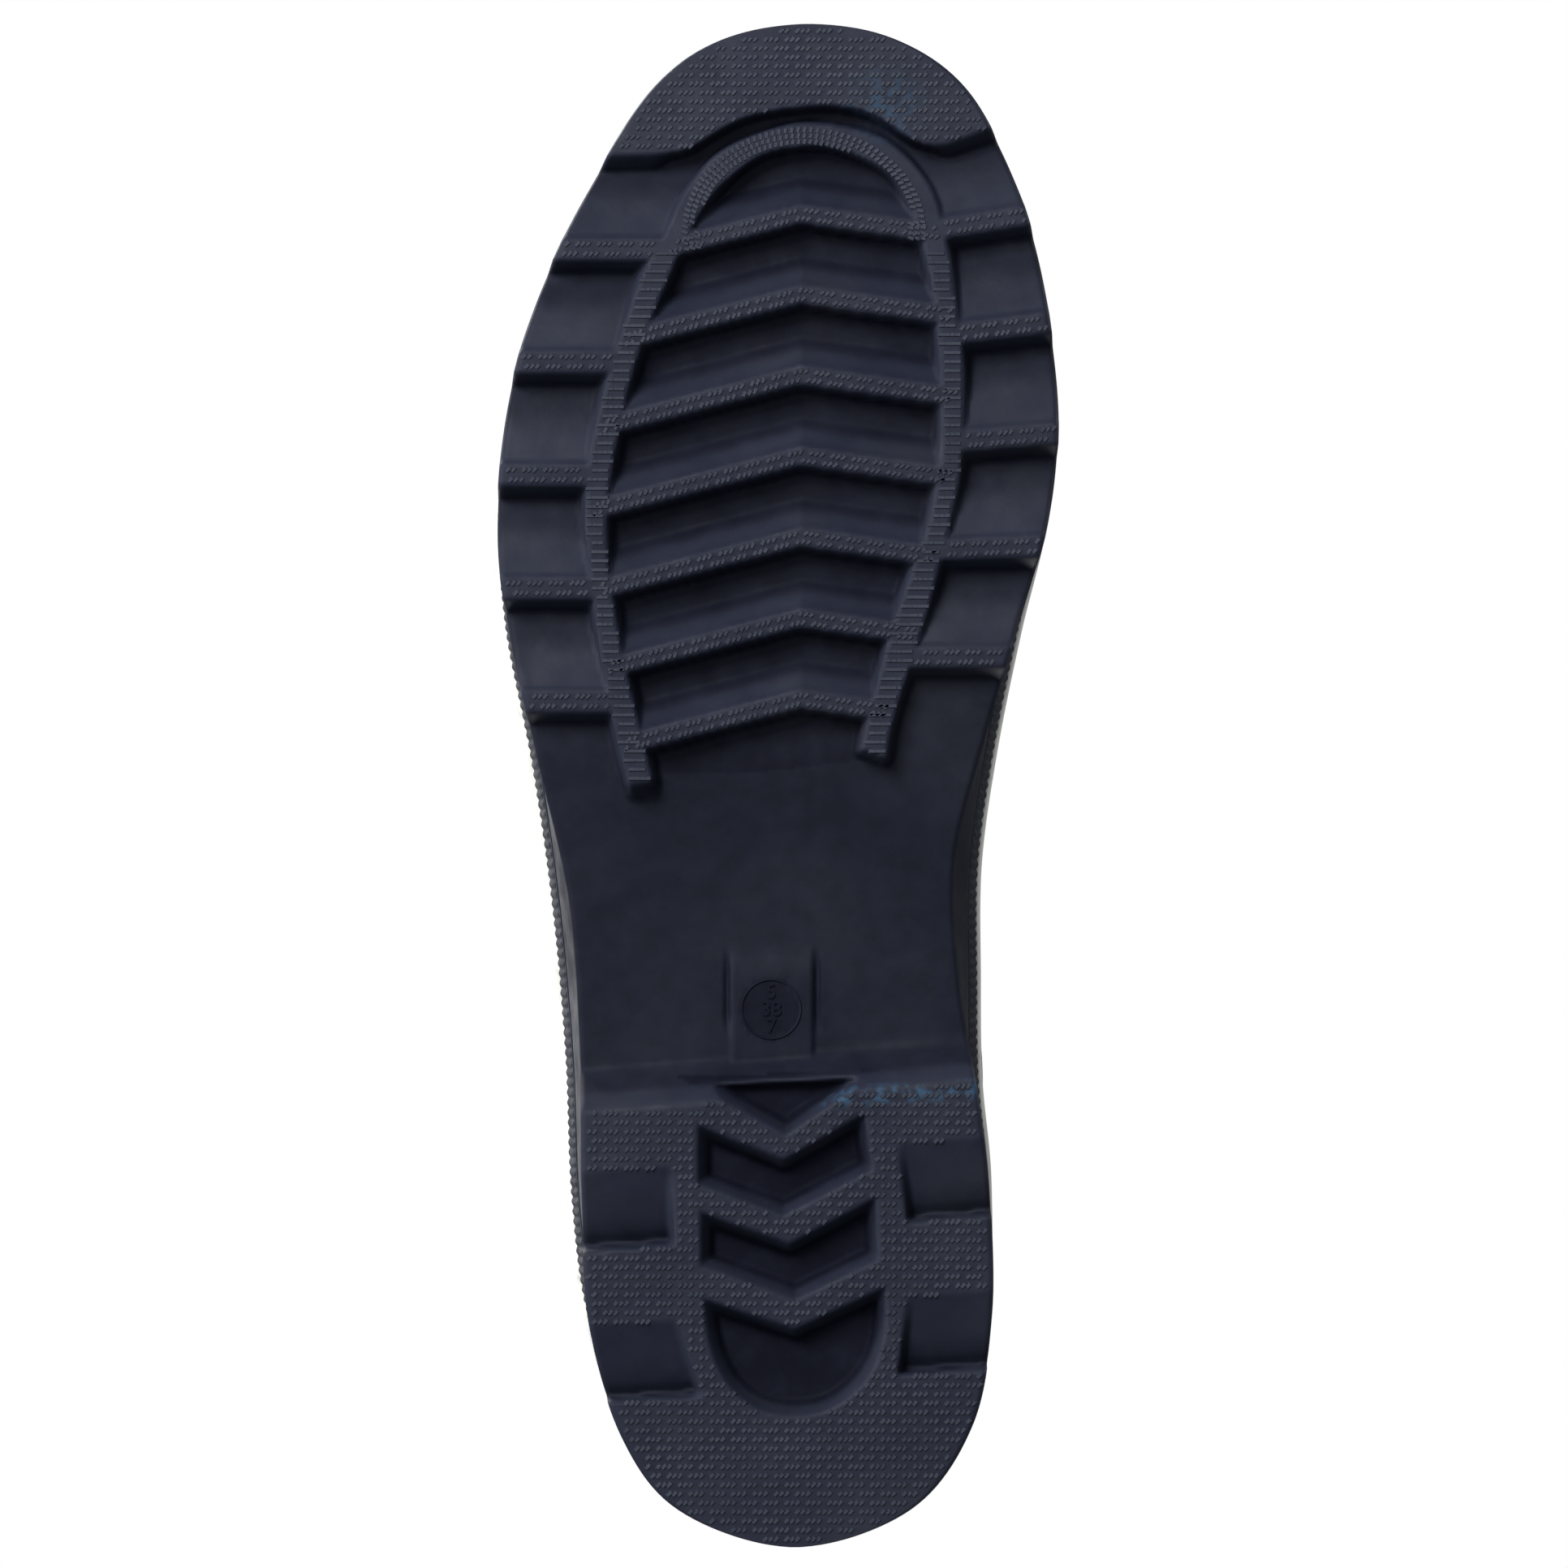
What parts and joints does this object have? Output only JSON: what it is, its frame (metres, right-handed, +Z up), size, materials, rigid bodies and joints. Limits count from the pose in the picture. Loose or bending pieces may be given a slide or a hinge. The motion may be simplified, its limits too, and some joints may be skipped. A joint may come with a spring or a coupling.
{
  "type": "deck boot",
  "caption": "Short pull-on rubber deck boot for the right foot, with a razor-sharp chevron tread, knurled sole edge and pull loop.",
  "frame": {"origin": "on the ground under the middle of the sole", "axes": "-Y towards the toe, +Y towards the heel, +X towards the inner side of the foot, +Z up"},
  "size_m": [0.0978, 0.2642, 0.2517],
  "materials": {
    "sole_rubber": "matte",
    "edge_rubber": "matte",
    "pale_rubber": "satin",
    "upper_rubber": "satin",
    "trim_rubber": "satin",
    "filler": "matte",
    "shank_steel": "satin",
    "fibreboard": "matte",
    "footbed_foam": "matte",
    "knit": "matte",
    "webbing": "matte"
  },
  "bodies": {
    "boot": {"outsole": "sole_rubber", "heel_filler": "filler", "midsole_filler": "filler", "shank": "shank_steel", "insole_board": "fibreboard", "footbed": "footbed_foam", "foxing_band": "edge_rubber", "foxing_stripe": "pale_rubber", "vamp": "upper_rubber", "heel_quarter": "upper_rubber", "leg_lateral": "upper_rubber", "leg_medial": "upper_rubber", "toe_cap": "trim_rubber", "heel_counter": "trim_rubber", "back_strip": "trim_rubber", "front_strip": "trim_rubber", "top_stripe": "pale_rubber", "toe_puff": "fibreboard", "heel_stiffener": "fibreboard", "foot_lining": "knit", "leg_lining": "knit", "ankle_patch_lateral": "trim_rubber", "ankle_patch_medial": "trim_rubber", "kick_spur": "trim_rubber", "top_band": "trim_rubber", "pull_loop_ends": "webbing", "loop_anchor": "trim_rubber"},
    "loop": {"pull_loop": "webbing"}
  },
  "joints": [
    {"name": "pull_loop_fold", "type": "hinge", "parent": "boot", "child": "loop", "pos_m": [0.0004, 0.1243, 0.2257], "axis": [1, 0, 0], "range_deg": [-70, 40], "stiffness_Nm_per_rad": 0.02}
  ]
}
